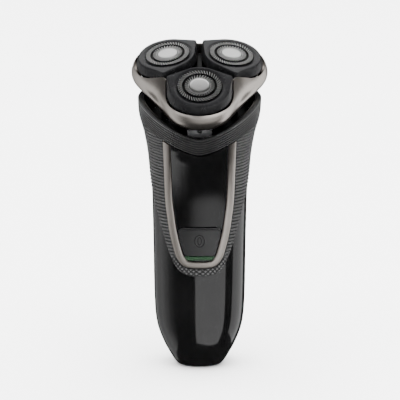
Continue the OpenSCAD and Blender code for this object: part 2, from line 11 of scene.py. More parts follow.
import bmesh
import bpy
import numpy as np
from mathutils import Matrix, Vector


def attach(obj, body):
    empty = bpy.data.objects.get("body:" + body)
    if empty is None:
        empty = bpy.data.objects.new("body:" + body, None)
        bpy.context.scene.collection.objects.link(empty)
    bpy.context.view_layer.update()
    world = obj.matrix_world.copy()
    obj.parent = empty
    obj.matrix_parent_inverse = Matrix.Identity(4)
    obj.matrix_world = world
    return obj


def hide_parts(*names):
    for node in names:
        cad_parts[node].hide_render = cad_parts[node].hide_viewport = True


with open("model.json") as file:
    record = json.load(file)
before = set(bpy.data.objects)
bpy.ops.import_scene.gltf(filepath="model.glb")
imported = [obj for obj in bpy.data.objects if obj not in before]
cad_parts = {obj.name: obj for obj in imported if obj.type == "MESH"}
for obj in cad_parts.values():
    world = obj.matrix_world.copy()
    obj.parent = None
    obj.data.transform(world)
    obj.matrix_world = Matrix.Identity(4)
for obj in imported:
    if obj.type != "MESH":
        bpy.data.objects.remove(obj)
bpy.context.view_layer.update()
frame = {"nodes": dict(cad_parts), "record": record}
MM = 0.001
JOINTS = {j["name"]: j for j in frame["record"]["behaviour"]["joints"]}

# ------------------------------------------------------------------ handle, in mm
WAIST = 21.7
RIM_FRONT, RIM_SIDE, RIM_BACK = 114.6, 128.4, 130.5
# [height, reach] of the skin to the side, the front and the back
SIDE_LINE = np.array([
    [0, WAIST - 11.2], [3, WAIST - 9.1], [11, WAIST - 4.8], [20, WAIST - 1.7], [32, WAIST - 0.6],
    [60, WAIST - 0.1], [85, WAIST + 0.5], [100, WAIST + 1.3], [112, WAIST + 3.2],
    [122, WAIST + 5.7], [RIM_BACK + 6, WAIST + 6.1],
])
FRONT_LINE = np.array([
    [0, 10], [3, 12], [10, 16], [20, 18.6], [40, 19.6], [70, 19.2], [88, 19.6], [100, 22.2],
    [108, 26], [RIM_FRONT, 29.6], [RIM_BACK + 6, 31],
])
BACK_LINE = np.array([
    [0, 10], [3, 12], [10, 15.6], [20, 18], [45, 18.6], [80, 17.8], [100, 18.4], [115, 20.4],
    [RIM_SIDE, 23.8], [RIM_BACK + 6, 25],
])
ROUNDNESS = 2.3  # power of the section's superellipse
WALL = 2.0
COLLAR_DROP = 8.5
TRIM_W = 3.2
BASE_TOP = 3.0
BUTTON_TOP, BUTTON_LOW, LENS_LOW = 70.4, 57.0, 54.9
STEM_Z, STEM_R = 63.5, 1.6
MARK_Z = 64.2
LENS_Z = 55.4
SCREWS = ((12.5, 71), (-12.5, 71), (12.5, 24), (-12.5, 24))
SEAT_Y, RECESS_R = 12.2, 2.35
PARTING = 0.07  # half the gap between the shells, in degrees
RIDGES, RIDGE_HEIGHT = 7, 0.82
ROW_PITCH, CELL_WIDTH, WEAVE_PITCH = 1.55, 0.80, 2.2
SCALE_HEIGHT = 0.52
WEAVE_TOP, WEAVE_FADE = 58.5, 4
# [side offset, height] down the middle of the trim, then [angle, height] down the grip's outer edge
TRIM_LINE = np.array([
    [15, 115], [14.3, 98], [13.7, 83], [12.8, 75], [11.8, 68], [9.9, 60], [8.5, 56], [6.2, 53.3],
    [3, 52.6], [0, 52.6],
])
GRIP_LINE = np.array([
    [112, 128], [100, 108], [84, 93], [67, 82], [53, 72], [42, 62], [33.5, 55], [23, 49.6],
    [10, 47.4], [0, 47.2],
])
# [height, half width] of the space inside the trim
INSIDE_LINE = np.array([
    [LENS_LOW - 0.5, 5.4], [56, 6.6], [60, 8.1], [68, 10], [75, 11], [83, 11.9], [98, 12.5], [116, 13.2],
])

# ------------------------------------------------------------------ head, in mm
# A lobe radius, q, is measured from a pod's own axis, so that one q gives one three-lobed outline
POD_RADIUS = 17.1  # from the head's axis to each pod's
POD_TILT = math.radians(9)
CAP_R = 10.4
SEAM = 0.9  # between neighbouring pods
NOTCH_R = 18.5  # from the head's axis to the pods' outer corners
INNER_Q = 13.2
PIVOT_H = -24.0  # the swivel's pivot on the head's axis


def curve(points, x):
    """Smooth curve through [x, value] points, as the CAD part draws it."""
    x = np.asarray(x, float)
    xs, ys = points[:, 0], points[:, 1]
    slopes = np.empty(len(xs))
    slopes[1:-1] = (ys[2:] - ys[:-2]) / (xs[2:] - xs[:-2])
    slopes[0] = (ys[1] - ys[0]) / (xs[1] - xs[0])
    slopes[-1] = (ys[-1] - ys[-2]) / (xs[-1] - xs[-2])
    i = np.clip(np.searchsorted(xs, x, side="right") - 1, 0, len(xs) - 2)
    h = xs[i + 1] - xs[i]
    t = (x - xs[i]) / h
    return (ys[i] * (2 * t**3 - 3 * t**2 + 1) + slopes[i] * h * (t**3 - 2 * t**2 + t)
            + ys[i + 1] * (3 * t**2 - 2 * t**3) + slopes[i + 1] * h * (t**3 - t**2))


def along(points, t):
    """Point a share t of the way along a list of points."""
    f = np.clip(np.asarray(t, float), 0, 1) * (len(points) - 1)
    i = np.minimum(np.floor(f).astype(int), len(points) - 2)
    s = (f - i)[..., None]
    a, b = points[np.maximum(i - 1, 0)], points[i]
    c, d = points[i + 1], points[np.minimum(i + 2, len(points) - 1)]
    return (b + (c - a) * s / 2 + (2 * a - 5 * b + 4 * c - d) * s**2 / 2
            + (3 * (b - c) + d - a) * s**3 / 2)


def signed_power(v, e):
    """Power of a value's size, with the value's sign."""
    return np.sign(v) * np.abs(v) ** e


def skin(angle, z, d):
    """Point on the handle in mm at an angle in degrees from the front, a height and an offset."""
    angle, z, d = np.broadcast_arrays(np.asarray(angle, float), np.asarray(z, float), np.asarray(d, float))
    turn = np.radians(angle)
    back = np.cos(turn) < 0
    depth = np.where(back, curve(BACK_LINE, z), curve(FRONT_LINE, z))
    x = (curve(SIDE_LINE, z) + d) * signed_power(np.sin(turn), 2 / ROUNDNESS)
    y = -(depth + d) * signed_power(np.cos(turn), 2 / ROUNDNESS)
    return np.stack([x, y, z], axis=-1)


def angle_at(x, z):
    """Angle from the front, in degrees, of the skin's point at that side offset and height."""
    share = np.minimum(1, (np.abs(x) / curve(SIDE_LINE, z)) ** (ROUNDNESS / 2))
    return np.degrees(np.arcsin(share)) * np.sign(x)


def rim_z(angle):
    """Height of the handle's open rim, low in front and high at the sides and back."""
    turn = np.radians(np.asarray(angle, float))
    edge = np.abs(np.sin(turn)) ** (2 / ROUNDNESS)
    end = np.where(np.cos(turn) < 0, RIM_BACK, RIM_FRONT)
    return end + (RIM_SIDE - end) * edge**1.5


def edge_z(angle):
    """Height just under the collar."""
    return rim_z(angle) - COLLAR_DROP - 0.15


def level_z(angle, t):
    """Height at a share t of the way up: level below the bend, then rising to the rim's own line."""
    bend_t, bend_z = 0.55, 84
    t = np.asarray(t, float)
    low = BASE_TOP + (bend_z - BASE_TOP) * t / bend_t
    high = bend_z + (rim_z(angle) - bend_z) * (t - bend_t) / (1 - bend_t)
    return np.where(t <= bend_t, low, high)


# ------------------------------------------------------------------ mesh building
def mesh_object(name, points, faces, smooth=True, sharp_deg=40):
    """A mesh object from points in mm and faces."""
    mesh = bpy.data.meshes.new(name)
    mesh.from_pydata((np.asarray(points) * MM).tolist(), [], faces)
    mesh.validate()
    mesh.update()
    obj = bpy.data.objects.new(name, mesh)
    bpy.context.collection.objects.link(obj)
    if smooth:
        mesh.shade_smooth()
        if sharp_deg:
            mesh.set_sharp_from_angle(angle=math.radians(sharp_deg))
    return obj


def grid_faces(rows, cols, closed_rows=False, closed_cols=False, start=0, flip=False):
    """Quads between the points of a grid, row by row from a first index."""
    i, j = np.meshgrid(np.arange(rows if closed_rows else rows - 1),
                       np.arange(cols if closed_cols else cols - 1), indexing="ij")
    a = (i % rows) * cols + j % cols
    b = (i % rows) * cols + (j + 1) % cols
    c = ((i + 1) % rows) * cols + (j + 1) % cols
    d = ((i + 1) % rows) * cols + j % cols
    quads = np.stack([a, b, c, d] if not flip else [a, d, c, b], axis=-1).reshape(-1, 4) + start
    return quads.tolist()


def shell_object(name, outer, inner, **kw):
    """Closed sheet between two grids of points (rows, cols, 3)."""
    rows, cols = outer.shape[:2]
    base = rows * cols
    faces = grid_faces(rows, cols) + grid_faces(rows, cols, start=base, flip=True)
    for i in range(rows - 1):
        for j, turn in ((0, False), (cols - 1, True)):
            quad = [i * cols + j, (i + 1) * cols + j, base + (i + 1) * cols + j, base + i * cols + j]
            faces.append(quad if not turn else quad[::-1])
    for j in range(cols - 1):
        for i, turn in ((0, True), (rows - 1, False)):
            quad = [i * cols + j, i * cols + j + 1, base + i * cols + j + 1, base + i * cols + j]
            faces.append(quad if not turn else quad[::-1])
    return mesh_object(name, np.concatenate([outer.reshape(-1, 3), inner.reshape(-1, 3)]), faces, **kw)


def loft_object(name, rings, closed_rows=False, **kw):
    """Closed solid from rings (rows, cols, 3): capped at both ends, or joined end to end."""
    rings = np.asarray(rings)
    rows, cols = rings.shape[:2]
    faces = grid_faces(rows, cols, closed_rows=closed_rows, closed_cols=True)
    if not closed_rows:
        faces += [list(range(cols))[::-1], list(range((rows - 1) * cols, rows * cols))]
    return mesh_object(name, rings.reshape(-1, 3), faces, **kw)


def ring_at(reach, turn, height):
    """Points about an axis, one for each turn in radians, at a reach and a height."""
    return np.stack(np.broadcast_arrays(reach * np.cos(turn), reach * np.sin(turn), height), axis=-1)


def full_turn(sides):
    """Evenly spaced angles round a circle, in radians."""
    return np.linspace(0, 2 * math.pi, sides, endpoint=False)


def finish_piece(obj, body, material, slot, *nodes):
    """Gives a piece its material and body, and hides the CAD nodes it stands for; the slot is not used."""
    obj.data.materials.clear()
    obj.data.materials.append(material)
    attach(obj, body)
    if nodes:
        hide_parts(*nodes)


def carry_relief(obj, heights):
    """Stores the pattern's height, from 0 to 1, on a mesh's first points; the rest get 0."""
    values = np.zeros(len(obj.data.vertices), dtype=np.float32)
    values[:heights.size] = heights.ravel()
    obj.data.attributes.new("relief", "FLOAT", "POINT").data.foreach_set("value", values)


def recalc_outside(obj):
    """Turns every face's normal outwards."""
    mesh = bmesh.new()
    mesh.from_mesh(obj.data)
    bmesh.ops.recalc_face_normals(mesh, faces=mesh.faces)
    mesh.to_mesh(obj.data)
    mesh.free()
    return obj


def cut_away(obj, *cutters):
    """Subtracts closed objects from a piece and removes them."""
    for cutter in cutters:
        cut = obj.modifiers.new("cut", "BOOLEAN")
        cut.operation = "DIFFERENCE"
        cut.solver = "EXACT"
        cut.object = cutter
    bpy.context.view_layer.update()
    mesh = bpy.data.meshes.new_from_object(obj.evaluated_get(bpy.context.evaluated_depsgraph_get()))
    obj.modifiers.clear()
    obj.data = mesh
    for cutter in cutters:
        bpy.data.objects.remove(cutter)


# ------------------------------------------------------------------ materials
def new_material(name, **values):
    """A material with its nodes, links and shader, and constants on the shader's sockets."""
    mat = bpy.data.materials.new(name)
    mat.use_nodes = True
    shader = mat.node_tree.nodes["Principled BSDF"]
    for key, value in values.items():
        shader.inputs[key.replace("_", " ")].default_value = value
    return mat, mat.node_tree.nodes, mat.node_tree.links, shader


def noise_node(nodes, links, scale, detail=3.0):
    """Noise in the object's own coordinates."""
    coords = nodes.new("ShaderNodeTexCoord")
    noise = nodes.new("ShaderNodeTexNoise")
    noise.inputs["Scale"].default_value = scale
    noise.inputs["Detail"].default_value = detail
    links.new(coords.outputs["Object"], noise.inputs["Vector"])
    return noise


def colour_between(nodes, links, source, low, high, shader):
    """Base colour that wanders between two colours with the source."""
    ramp = nodes.new("ShaderNodeValToRGB")
    for stop, place, colour in zip(ramp.color_ramp.elements, (0.3, 0.7), (low, high)):
        stop.position = place
        stop.color = (*colour, 1)
    links.new(source.outputs["Fac"], ramp.inputs["Fac"])
    links.new(ramp.outputs["Color"], shader.inputs["Base Color"])


def rough_between(nodes, links, source, low, high, shader):
    """Roughness that wanders between two values with the source."""
    spread = nodes.new("ShaderNodeMapRange")
    spread.inputs["To Min"].default_value = low
    spread.inputs["To Max"].default_value = high
    links.new(source.outputs["Fac"], spread.inputs["Value"])
    links.new(spread.outputs["Result"], shader.inputs["Roughness"])


def fine_bump(nodes, links, source, strength, distance, shader):
    """Surface grain from the source, its depth in metres."""
    bump = nodes.new("ShaderNodeBump")
    bump.inputs["Strength"].default_value = strength
    bump.inputs["Distance"].default_value = distance
    links.new(source.outputs["Fac"], bump.inputs["Height"])
    links.new(bump.outputs["Normal"], shader.inputs["Normal"])


def plastic(name, low, high, rough, bump=0.15, specular=0.5):
    """Moulded plastic or rubber: faint colour clouding, an uneven polish and a fine mould grain."""
    mat, nodes, links, shader = new_material(name)
    shader.inputs["Specular IOR Level"].default_value = specular
    cloud = noise_node(nodes, links, 60.0)
    colour_between(nodes, links, cloud, low, high, shader)
    rough_between(nodes, links, cloud, *rough, shader)
    fine_bump(nodes, links, noise_node(nodes, links, 900.0, 2.0), bump, 0.00003, shader)
    return mat


def greys(low, high, tint=0.0):
    """Two near-neutral colours, whose blue differs by tint."""
    return (low, low, low + tint), (high, high, high + tint)


def paint_shade_in_dips(mat, valley):
    """Paints shade into the dips of a moulded pattern: darkens the base colour by the height that its mesh
    carries.
    """
    nodes, links = mat.node_tree.nodes, mat.node_tree.links
    shader = nodes["Principled BSDF"]
    height = nodes.new("ShaderNodeAttribute")
    height.attribute_name = "relief"
    spread = nodes.new("ShaderNodeMapRange")
    spread.inputs["To Min"].default_value = valley
    links.new(height.outputs["Fac"], spread.inputs["Value"])
    scaled = nodes.new("ShaderNodeVectorMath")
    scaled.operation = "SCALE"
    links.new(shader.inputs["Base Color"].links[0].from_socket, scaled.inputs[0])
    links.new(spread.outputs["Result"], scaled.inputs["Scale"])
    links.new(scaled.outputs["Vector"], shader.inputs["Base Color"])


def metal(name, low, high, rough, bump=0.1):
    """Metal with a fine grain and a slightly uneven polish."""
    mat, nodes, links, shader = new_material(name, Metallic=1.0)
    grain = noise_node(nodes, links, 700.0, 4.0)
    colour_between(nodes, links, noise_node(nodes, links, 45.0, 2.0), low, high, shader)
    rough_between(nodes, links, grain, *rough, shader)
    fine_bump(nodes, links, grain, bump, 0.00002, shader)
    return mat


def tinted_window(name):
    """Charge-light window: dark green, unlit, under a clear coat."""
    mat, nodes, links, shader = new_material(name)
    shader.inputs["Coat Weight"].default_value = 0.6
    cloud = noise_node(nodes, links, 300.0)
    colour_between(nodes, links, cloud, (0.007, 0.018, 0.009), (0.010, 0.027, 0.012), shader)
    rough_between(nodes, links, cloud, 0.18, 0.3, shader)
    return mat


GLOSS = plastic("gloss_black", *greys(0.0012, 0.0022, 0.0001), (0.06, 0.10), bump=0.02)
PANEL = plastic("panel_black", *greys(0.0008, 0.0016, 0.0001), (0.10, 0.15), bump=0.03)
SATIN = plastic("satin_black", *greys(0.005, 0.008, 0.0003), (0.28, 0.38), bump=0.10)
POD = plastic("pod_black", *greys(0.003, 0.005, 0.0003), (0.24, 0.31), bump=0.08, specular=0.20)
# Painted light: the release tab's black is lifted well above the other blacks, standing in for the light
# that barely reaches it under the rim.
RELEASE_PAINTED_LIGHT = plastic("release_gloss_painted_light", *greys(0.030, 0.038, 0.001), (0.14, 0.20), bump=0.02, specular=0.7)
DEEP = plastic("inner_black", *greys(0.002, 0.004), (0.45, 0.55), bump=0.05, specular=0.3)
RUBBER = plastic("grip_rubber", *greys(0.034, 0.046), (0.42, 0.52), bump=0.1)
COLLAR = plastic("collar_rubber", *greys(0.042, 0.05), (0.30, 0.38), bump=0.03)
# Painted shade: the grip's grooves are darkened to 8% of the rubber's colour.
paint_shade_in_dips(RUBBER, 0.08)
# Painted highlight and shade: only the collar's crests keep the rubber's grey, and the rest is darkened to
# 3% of it.
paint_shade_in_dips(COLLAR, 0.03)
BOARD = plastic("solder_mask", (0.010, 0.085, 0.030), (0.014, 0.11, 0.040), (0.3, 0.4))
WRAP = plastic("cell_wrap", (0.03, 0.16, 0.08), (0.04, 0.2, 0.1), (0.25, 0.35))
WHITE = plastic("white_acetal", (0.62, 0.62, 0.58), (0.72, 0.72, 0.68), (0.4, 0.5))
CLEAR = plastic("clear_guide", (0.55, 0.65, 0.55), (0.65, 0.75, 0.65), (0.1, 0.2))
LEADS = plastic("lead_red", (0.35, 0.02, 0.02), (0.45, 0.03, 0.03), (0.3, 0.4))
TRIM = metal("trim_metal", (0.50, 0.46, 0.42), (0.57, 0.53, 0.49), (0.40, 0.48))
NICKEL = metal("satin_nickel", (0.50, 0.46, 0.42), (0.58, 0.54, 0.50), (0.30, 0.40))
STEEL = metal("cutter_steel", *greys(0.62, 0.74, -0.01), (0.26, 0.36))
# Dark metal, also used as painted shade on the cap dishes' floors between the slot bars.
DARK_STEEL_AND_SLOT_SHADE = metal("cap_dark_steel_and_slot_shade", *greys(0.012, 0.02), (0.45, 0.6))
DISC = metal("disc_metal", *greys(0.62, 0.72, -0.01), (0.28, 0.36), bump=0.05)
BRASS = metal("contact_brass", (0.70, 0.50, 0.22), (0.78, 0.58, 0.28), (0.22, 0.32))
COPPER = metal("winding_copper", (0.62, 0.30, 0.16), (0.72, 0.38, 0.20), (0.3, 0.4))
LENS = tinted_window("green_lens")


# ------------------------------------------------------------------ handle pieces
def rounded_out(distance, out, radius):
    """Offset near a free edge: full height inside, falling along a quarter circle at the edge."""
    near = np.clip(1 - distance / radius, 0, 1)
    return out - radius * (1 - np.sqrt(np.maximum(0, 1 - near**2)))


def handle_shells():
    """Front and rear mouldings with a fine parting line, the front's openings and the rear's recesses."""
    levels = np.linspace(0, 1, 150)
    for name, node, start in (("housing_front", "front_shell", -90), ("housing_rear", "rear_shell", 90)):
        end = start + 180
        angles = np.linspace(start + PARTING, end - PARTING, 150)
        a, t = np.meshgrid(angles, levels, indexing="ij")
        z = level_z((a + 180) % 360 - 180, t)
        inset = 0.12 * np.clip(1 - np.minimum(a - start, end - a), 0, 1)
        obj = shell_object(name, skin(a, z, -inset), skin(a, z, -WALL), sharp_deg=50)
        recalc_outside(obj)
        if node == "front_shell":
            stem_hole = cylinder_between("stem_hole", (0, -30, STEM_Z), (0, -10, STEM_Z), STEM_R + 0.5)
            light_slot = block("light_slot", (-5.4, -30, LENS_Z - 0.2), (5.4, -10, LENS_Z + 1.5))
            cut_away(obj, stem_hole, light_slot)
        else:
            cut_away(obj, *[cylinder_between("recess", (x, 9, z), (x, 30, z), RECESS_R, bevel=0.01)
                            for x, z in SCREWS])
        finish_piece(obj, "handle", GLOSS, "gloss_black", node)


def screw_seats():
    """The ring that each case screw's head bears on, at the bottom of its recess."""
    profile = [(3.0, 10.6), (3.0, 14.3), (RECESS_R, 14.3), (RECESS_R, SEAT_Y), (1.2, SEAT_Y), (1.2, 10.6)]
    turn = full_turn(64)
    for number, (x, z) in enumerate(SCREWS):
        rings = [np.stack([x + r * np.cos(turn), np.full_like(turn, y), z + r * np.sin(turn)], -1)
                 for r, y in profile]
        seat = loft_object("screw_seat_%d" % (number + 1), rings, closed_rows=True, sharp_deg=35)
        recalc_outside(seat)
        finish_piece(seat, "handle", SATIN, "satin_black")


def base_cap():
    """Base with a soft lower edge around the charging inlet."""
    angles = np.arange(-180, 180, 2.0)
    rings = []
    for z, d in ((0.0, -1.3), (0.15, -0.75), (0.45, -0.3), (0.9, -0.08), (1.5, 0), (BASE_TOP - 0.1, 0)):
        rings.append(skin(angles, z, d))
    hole = []
    for z in (BASE_TOP - 0.1, 0.0):
        turn = np.radians(angles)
        x = 5.2 * np.clip(1.9 * np.sin(turn), -1, 1)
        y = -3.2 * np.clip(1.9 * np.cos(turn), -1, 1)
        hole.append(np.stack([x, y, np.full_like(x, z)], axis=-1))
    obj = loft_object("base_cover", rings + hole, closed_rows=True, sharp_deg=40)
    recalc_outside(obj)
    finish_piece(obj, "handle", GLOSS, "gloss_black", "base_cap")


def collar():
    """Rubber collar with fine ridges that run along its rim."""
    ridge = ((0.0, 0.0), (0.26, 0.05), (0.42, 0.75), (0.5, 0.96), (0.6, 1.0), (0.7, 0.8), (0.84, 0.08))
    profile = []
    for i in range(RIDGES):
        for share, high in ridge:
            profile.append((-COLLAR_DROP * (1 - (i + share) / RIDGES), 0.06, RIDGE_HEIGHT * high))
    profile.append((0.0, 0.06, 0.54))
    for dz, d in ((0.35, 0.3), (0.5, 0.05), (0.5, -0.9), (0.4, -1.25), (0.1, -1.3), (0.1, 0.12)):
        profile.append((dz, d, 0.0))
    profile += [(-COLLAR_DROP * s / 8, 0.12, 0.0) for s in range(1, 9)]
    angles = np.arange(-180, 180, 1.5)
    # Lower ridges in the middle of the front, where the photo's are flattest
    front_fade = np.clip((np.abs(angles) - 4) / 26, 0.3, 1)
    rings = [skin(angles, rim_z(angles) + dz, d + high * front_fade) for dz, d, high in profile]
    obj = loft_object("collar_ribs", rings, closed_rows=True, sharp_deg=60)
    recalc_outside(obj)
    # Painted highlight lines on the crests and painted shade between them, with fainter lines in the
    # middle of the front.
    tops = [np.clip(2.2 * high - 0.8, 0, 1) * front_fade for _, _, high in profile]
    carry_relief(obj, np.array(tops))
    finish_piece(obj, "handle", COLLAR, "soft_rubber", "collar_band")


def trim_at(t, shift):
    """[angle, height] at a share t of the trim's path and a shift outwards across it."""
    p = along(TRIM_LINE, t)
    step = along(TRIM_LINE, np.minimum(t + 0.01, 1)) - along(TRIM_LINE, np.maximum(t - 0.01, 0))
    step = step / np.linalg.norm(step, axis=-1, keepdims=True)
    x = p[..., 0] - step[..., 1] * shift
    z = p[..., 1] + step[..., 0] * shift
    return np.stack([angle_at(x, z), z], axis=-1)


def grip_at(t, share):
    """[angle, height] at a share across the grip, from the trim to the grip's outer line."""
    inner = trim_at(t, TRIM_W / 2 + 0.1)
    outer = along(GRIP_LINE, t)
    return inner + (outer - inner) * share[..., None]


def tucked(at, top, t):
    """Moves the first rows of a patch up to the collar's edge."""
    lift = (edge_z(top[..., 0]) - top[..., 1]) * np.maximum(0, 1 - 6 * t)
    return np.stack([at[..., 0], at[..., 1] + lift], axis=-1)


def both_sides(steps):
    """Shares and sides of a path from the right collar round the bottom to the left collar."""
    i = np.arange(-steps, steps + 1)
    return 1 - np.abs(i) / steps, np.where(i < 0, 1.0, -1.0)


def on_sides(at, side, d):
    """Points on the skin at [angle, height] and an offset, mirrored by side."""
    points = skin(at[..., 0], at[..., 1], d)
    points[..., 0] *= side
    return points


def trim():
    """Satin metal strip round the front panel, with rolled edges."""
    t, side = both_sides(200)
    half = TRIM_W / 2
    edge = ((0.0, 0.05), (0.0, 0.75), (0.1, 1.0), (0.3, 1.18), (0.7, 1.28))
    profile = [(inset - half, d) for inset, d in edge] + [(0, 1.3)]
    profile += [(half - inset, d) for inset, d in reversed(edge)]
    rows = []
    for shift, d in profile:
        shift = np.full_like(t, shift)
        at = tucked(trim_at(t, shift), trim_at(np.zeros_like(t), shift), t)
        rows.append(on_sides(at, side, d))
    obj = loft_object("trim_metal", np.array(rows).transpose(1, 0, 2), sharp_deg=50)
    recalc_outside(obj)
    finish_piece(obj, "handle", TRIM, "satin_nickel", "trim_strip")


def off_middle(cells):
    """How far each value lies from the middle of its unit cell: 0 in the middle and 1 at its edges."""
    return np.abs(cells - np.floor(cells) - 0.5) * 2


def scale_relief(level, around, side):
    """Moulded pattern, 0 to 1: level rows of short bars, turning to a diamond weave round the bottom."""
    row = level / ROW_PITCH + 0.25
    column = around / CELL_WIDTH + 0.5 * (np.floor(row) % 2)
    bar = 0.35 + 0.65 * np.clip((0.8 - off_middle(column)) / 0.4, 0, 1)
    rows = np.clip((0.74 - off_middle(row)) / 0.2, 0, 1) * bar
    rising = off_middle((level + around * side) / WEAVE_PITCH)
    falling = off_middle((level - around * side) / WEAVE_PITCH)
    weave = np.clip((0.78 - np.maximum(rising, falling)) / 0.25, 0, 1)
    low = np.clip((WEAVE_TOP - level) / WEAVE_FADE, 0, 1)
    return (1 - low) * rows + low * weave


def grip():
    """Rubber grip with a moulded scale pattern, in relief."""
    t, side = both_sides(440)
    tt, ss = np.meshgrid(t, np.linspace(0, 1, 110), indexing="ij")
    side = side[:, None]
    at = tucked(grip_at(tt, ss), grip_at(np.zeros_like(tt), ss), tt)
    flat = on_sides(at, side, 0.55)
    steps = np.linalg.norm(np.diff(flat, axis=1), axis=-1)
    across = np.concatenate([np.zeros((len(t), 1)), np.cumsum(steps, axis=1)], axis=1)
    mm_per_degree = 0.42
    border = np.minimum(across, across[:, -1:] - across)
    relief = scale_relief(flat[..., 2], at[..., 0] * mm_per_degree, side) * np.clip(border / 0.5, 0, 1)
    d = np.where(border < 0.15, 0.25, 0.36 + SCALE_HEIGHT * relief)
    obj = shell_object("grip_scales", on_sides(at, side, d), on_sides(at, side, 0.05), sharp_deg=35)
    recalc_outside(obj)
    # The pattern's height also sets the painted shade in its grooves.
    carry_relief(obj, relief)
    finish_piece(obj, "handle", RUBBER, "soft_rubber", "side_grip")


def rounded_end(share, half_w, radius):
    """How far a patch's end pulls back towards its corners."""
    away = np.clip((np.abs(share) * half_w - (half_w - radius)) / radius, 0, 1)
    return radius * (1 - np.sqrt(1 - away**2)) * 0.9


def inside_patch(name, low, high, out, inset, radius=0.25, corner=0.0, low_corner=0.0, rows=120,
                 scoop=0.0, groove=0.0, back=0.05):
    """Patch of the front inside the trim, with rounded edges and corners, hollowed by scoop."""
    def half(z):
        """Half the patch's width at a height."""
        return curve(INSIDE_LINE, z) - inset
    share = np.linspace(-1, 1, 121)
    share = np.sign(share) * (1 - (1 - np.abs(share)) ** 1.5)
    top = np.minimum(high, edge_z(angle_at(half(high) * share, np.full_like(share, high))))
    if corner:
        top = top - rounded_end(share, half(high), corner)
    bottom = np.full_like(share, low)
    if low_corner:
        bottom = bottom - rounded_end(share, half(low), low_corner)
    s = 0.5 - 0.5 * np.cos(np.linspace(0, math.pi, rows))
    z = bottom + (top - bottom) * s[:, None]
    x = half(z) * share
    border = np.minimum.reduce([half(z) - np.abs(x), z - bottom, top - z])
    d = rounded_out(border, out, radius)
    if groove:
        d = d - groove * np.exp(-(((top - z) - 0.85) / 0.16) ** 2)
    d = d - scoop * np.clip(border / 5.0, 0, 1) ** 1.5
    angle = angle_at(x, z)
    return recalc_outside(shell_object(name, skin(angle, z, d), skin(angle, z, back), sharp_deg=50))


def front_panel():
    """Glossy centre panel, rounded off above the button."""
    obj = inside_patch("panel_gloss", BUTTON_TOP + 0.36, 112, 1.1, 0.12, scoop=0.12, low_corner=3.2)
    finish_piece(obj, "handle", PANEL, "gloss_black", "centre_panel")


def charge_window():
    """Green window of the charge light, below the button."""
    obj = inside_patch("charge_window", LENS_LOW, BUTTON_LOW - 0.25, 0.95, 0.15, radius=0.2, rows=30)
    finish_piece(obj, "handle", LENS, "green_lens", "led_lens")


def button():
    """Power button with a raised ring and bar, the generic power sign."""
    obj = inside_patch("button_cap", BUTTON_LOW, BUTTON_TOP, 1.2, 0.55, radius=0.3, corner=3.2,
                       groove=0.25, back=0.68)
    stem = cylinder_between("button_post", (0, -19.6, STEM_Z), (0, -13.2, STEM_Z), STEM_R)
    finish_piece(obj, "power_button", SATIN, "satin_black", "power_button")
    finish_piece(stem, "power_button", SATIN, "satin_black")
    turn = np.radians(np.arange(0, 360, 6))
    for name, half_w, half_h, line in (("power_ring", 2.1, 2.8, 0.13), ("power_bar", 0.75, 1.75, 0.12)):
        mark = ribbon(name, half_w * np.sin(turn), MARK_Z + half_h * np.cos(turn), line)
        finish_piece(mark, "power_button", PANEL, "satin_black")


def ribbon(name, x, z, half_w, out=1.2, height=0.06):
    """Thin raised line on the button along a closed path of points (x, z)."""
    step_x = np.roll(x, -1) - np.roll(x, 1)
    step_z = np.roll(z, -1) - np.roll(z, 1)
    length = np.hypot(step_x, step_z)
    section = ((-1, -0.1), (-1, 0.3 * height), (-0.5, height), (0.5, height), (1, 0.3 * height), (1, -0.1))
    rows = []
    for across, d in section:
        px = x + step_z / length * half_w * across
        pz = z - step_x / length * half_w * across
        rows.append(skin(angle_at(px, pz), pz, out + d))
    return recalc_outside(loft_object(name, rows, closed_rows=True, sharp_deg=60))


def cylinder_between(name, start, end, radius, bevel=0.2):
    """Round bar with bevelled ends between two points in mm."""
    start, end = np.array(start, float), np.array(end, float)
    axis = (end - start) / np.linalg.norm(end - start)
    helper = np.array([1.0, 0, 0]) if abs(axis[0]) < 0.9 else np.array([0, 1.0, 0])
    u = np.cross(axis, helper)
    u /= np.linalg.norm(u)
    v = np.cross(axis, u)
    turn = full_turn(48)
    circle = np.cos(turn)[:, None] * u + np.sin(turn)[:, None] * v
    length = np.linalg.norm(end - start)
    rings = [start + axis * s + circle * r for s, r in
             ((0, radius - bevel), (bevel, radius), (length - bevel, radius), (length, radius - bevel))]
    return recalc_outside(loft_object(name, rings, sharp_deg=35))


def block(name, low, high):
    """Plain box between two corners in mm, for cutting."""
    x, y, z = zip(low, high)
    points = [(a, b, c) for a in x for b in y for c in z]
    faces = [(0, 1, 3, 2), (4, 6, 7, 5), (0, 4, 5, 1), (2, 3, 7, 6), (0, 2, 6, 4), (1, 5, 7, 3)]
    return recalc_outside(mesh_object(name, points, faces, smooth=False))


# ------------------------------------------------------------------ head outlines
AXIS = Vector(JOINTS["drive_gear_spin"]["axis"]).normalized()
PIVOT = Vector(JOINTS["head_pitch"]["pos_m"]) / MM
HEAD_ORIGIN = np.array(PIVOT - AXIS * PIVOT_H)
HEAD_UP = np.array(AXIS)
HEAD_X = np.array([1.0, 0, 0])
HEAD_BACK = np.cross(HEAD_UP, HEAD_X)


def in_head(points):
    """Head coordinates in mm (X right, Y back, Z along the head's axis) to the row frame."""
    points = np.asarray(points, float)
    x, y, z = points[..., 0:1], points[..., 1:2], points[..., 2:3]
    return HEAD_ORIGIN + x * HEAD_X + y * HEAD_BACK + z * HEAD_UP


def in_pod(points, k):
    """Coordinates of pod k (X outwards, Z along its own axis) to the row frame."""
    points = np.asarray(points, float)
    turn = math.radians(-90 + 120 * (k - 1))
    c, s = math.cos(POD_TILT), math.sin(POD_TILT)
    x = points[..., 0] * c + points[..., 2] * s + POD_RADIUS
    z = -points[..., 0] * s + points[..., 2] * c
    y = points[..., 1]
    c, s = math.cos(turn), math.sin(turn)
    return in_head(np.stack([x * c - y * s, x * s + y * c, z], -1))


